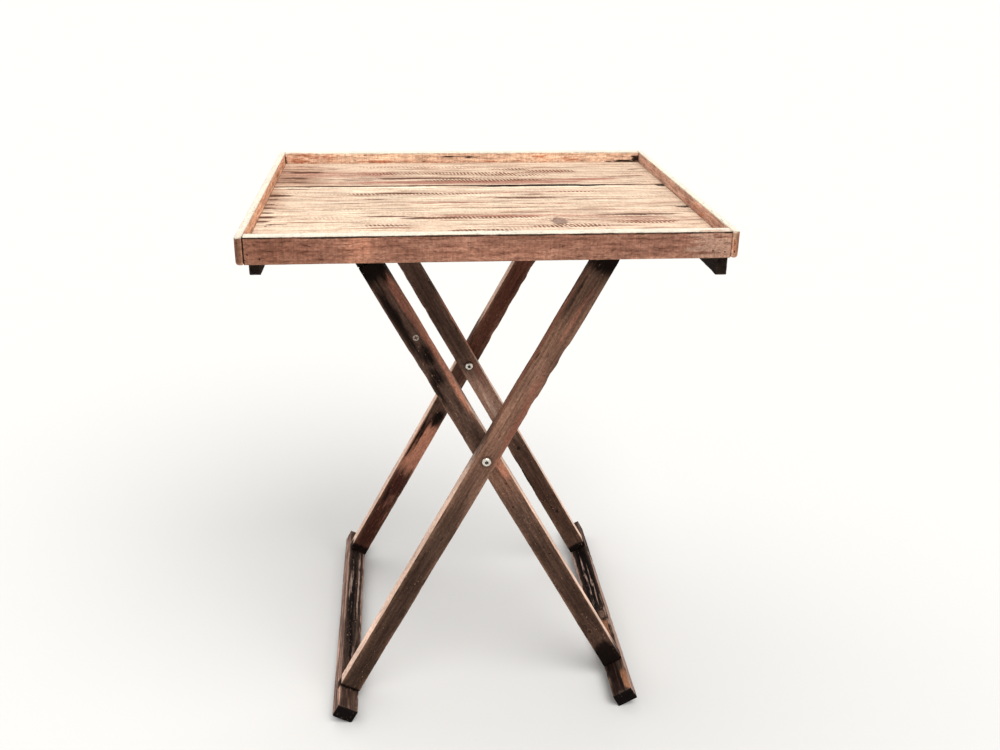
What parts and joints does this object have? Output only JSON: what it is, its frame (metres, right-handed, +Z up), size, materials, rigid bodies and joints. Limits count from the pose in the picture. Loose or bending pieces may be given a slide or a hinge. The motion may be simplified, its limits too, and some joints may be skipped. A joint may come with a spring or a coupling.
{
  "type": "folding side table",
  "caption": "Rustic wooden folding side table: a rimmed plank tray hinged to a crossed-leg stand that turns on two bolts and has floor rails.",
  "frame": {"origin": "on the floor at the centre of the table's box", "axes": "+X to the right along the tray's width, +Y to the back, +Z up; the outer legs run from the floor on the left to the tray on the right"},
  "size_m": [0.6, 0.53, 0.7293],
  "materials": {
    "plank_wood": "rough-sawn pale reclaimed planks, unsealed, with saw marks, streaks and dark stains",
    "rim_wood": "planed reddish-brown board, bare, with open grain and small nail holes",
    "batten_wood": "rough dark stained lath",
    "leg_wood": "weathered dark brown lath with paler worn edges",
    "floor_rail_wood": "weathered near-black lath, streaky and scuffed along its edges",
    "bright_steel": "bright plated steel, slightly dulled",
    "zinc_fastener": "zinc-plated steel wood screws and nails"
  },
  "bodies": {
    "outer_frame": {"floor_rail_left": "floor_rail_wood", "floor_rail_left_screw_front_1": "zinc_fastener", "floor_rail_left_screw_front_2": "zinc_fastener", "floor_rail_left_screw_rear_1": "zinc_fastener", "floor_rail_left_screw_rear_2": "zinc_fastener", "nut_washer_front": "bright_steel", "nut_washer_rear": "bright_steel", "outer_leg_front": "leg_wood", "outer_leg_rear": "leg_wood", "pivot_bolt_front": "bright_steel", "pivot_bolt_rear": "bright_steel", "pivot_nut_front": "bright_steel", "pivot_nut_rear": "bright_steel", "pivot_spacer_front": "bright_steel", "pivot_spacer_rear": "bright_steel"},
    "inner_frame": {"floor_rail_right": "floor_rail_wood", "floor_rail_right_screw_front_1": "zinc_fastener", "floor_rail_right_screw_front_2": "zinc_fastener", "floor_rail_right_screw_rear_1": "zinc_fastener", "floor_rail_right_screw_rear_2": "zinc_fastener", "inner_leg_front": "leg_wood", "inner_leg_rear": "leg_wood", "top_rail": "leg_wood", "top_rail_screw_front_1": "zinc_fastener", "top_rail_screw_front_2": "zinc_fastener", "top_rail_screw_rear_1": "zinc_fastener", "top_rail_screw_rear_2": "zinc_fastener"},
    "tray": {"batten_left": "batten_wood", "batten_left_screw_back": "zinc_fastener", "batten_left_screw_front": "zinc_fastener", "batten_left_screw_middle": "zinc_fastener", "batten_right": "batten_wood", "batten_right_screw_back": "zinc_fastener", "batten_right_screw_front": "zinc_fastener", "batten_right_screw_middle": "zinc_fastener", "hinge_batten": "batten_wood", "hinge_batten_screw_back": "zinc_fastener", "hinge_batten_screw_front": "zinc_fastener", "hinge_batten_screw_middle": "zinc_fastener", "hinge_pin_front": "zinc_fastener", "hinge_pin_rear": "zinc_fastener", "plank_back": "plank_wood", "plank_front": "plank_wood", "plank_middle": "plank_wood", "rim_back": "rim_wood", "rim_front": "rim_wood", "rim_left": "rim_wood", "rim_nail_back_left": "zinc_fastener", "rim_nail_back_right": "zinc_fastener", "rim_nail_front_left": "zinc_fastener", "rim_nail_front_right": "zinc_fastener", "rim_right": "rim_wood", "stop_cleat": "batten_wood", "stop_cleat_screw_back": "zinc_fastener", "stop_cleat_screw_front": "zinc_fastener", "stop_cleat_screw_middle": "zinc_fastener"}
  },
  "joints": [
    {"name": "stand_fold", "type": "hinge", "parent": "outer_frame", "child": "inner_frame", "pos_m": [0, 0, 0.39181], "axis": [0, 1, 0], "range_deg": [0, 51]},
    {"name": "tray_tilt", "type": "hinge", "parent": "outer_frame", "child": "tray", "pos_m": [0.15501, 0, 0.67731], "axis": [0, 1, 0], "range_deg": [0, 25.5]}
  ],
  "couplings": [
    {"joint": "tray_tilt", "follows": "stand_fold", "ratio": 0.5}
  ]
}
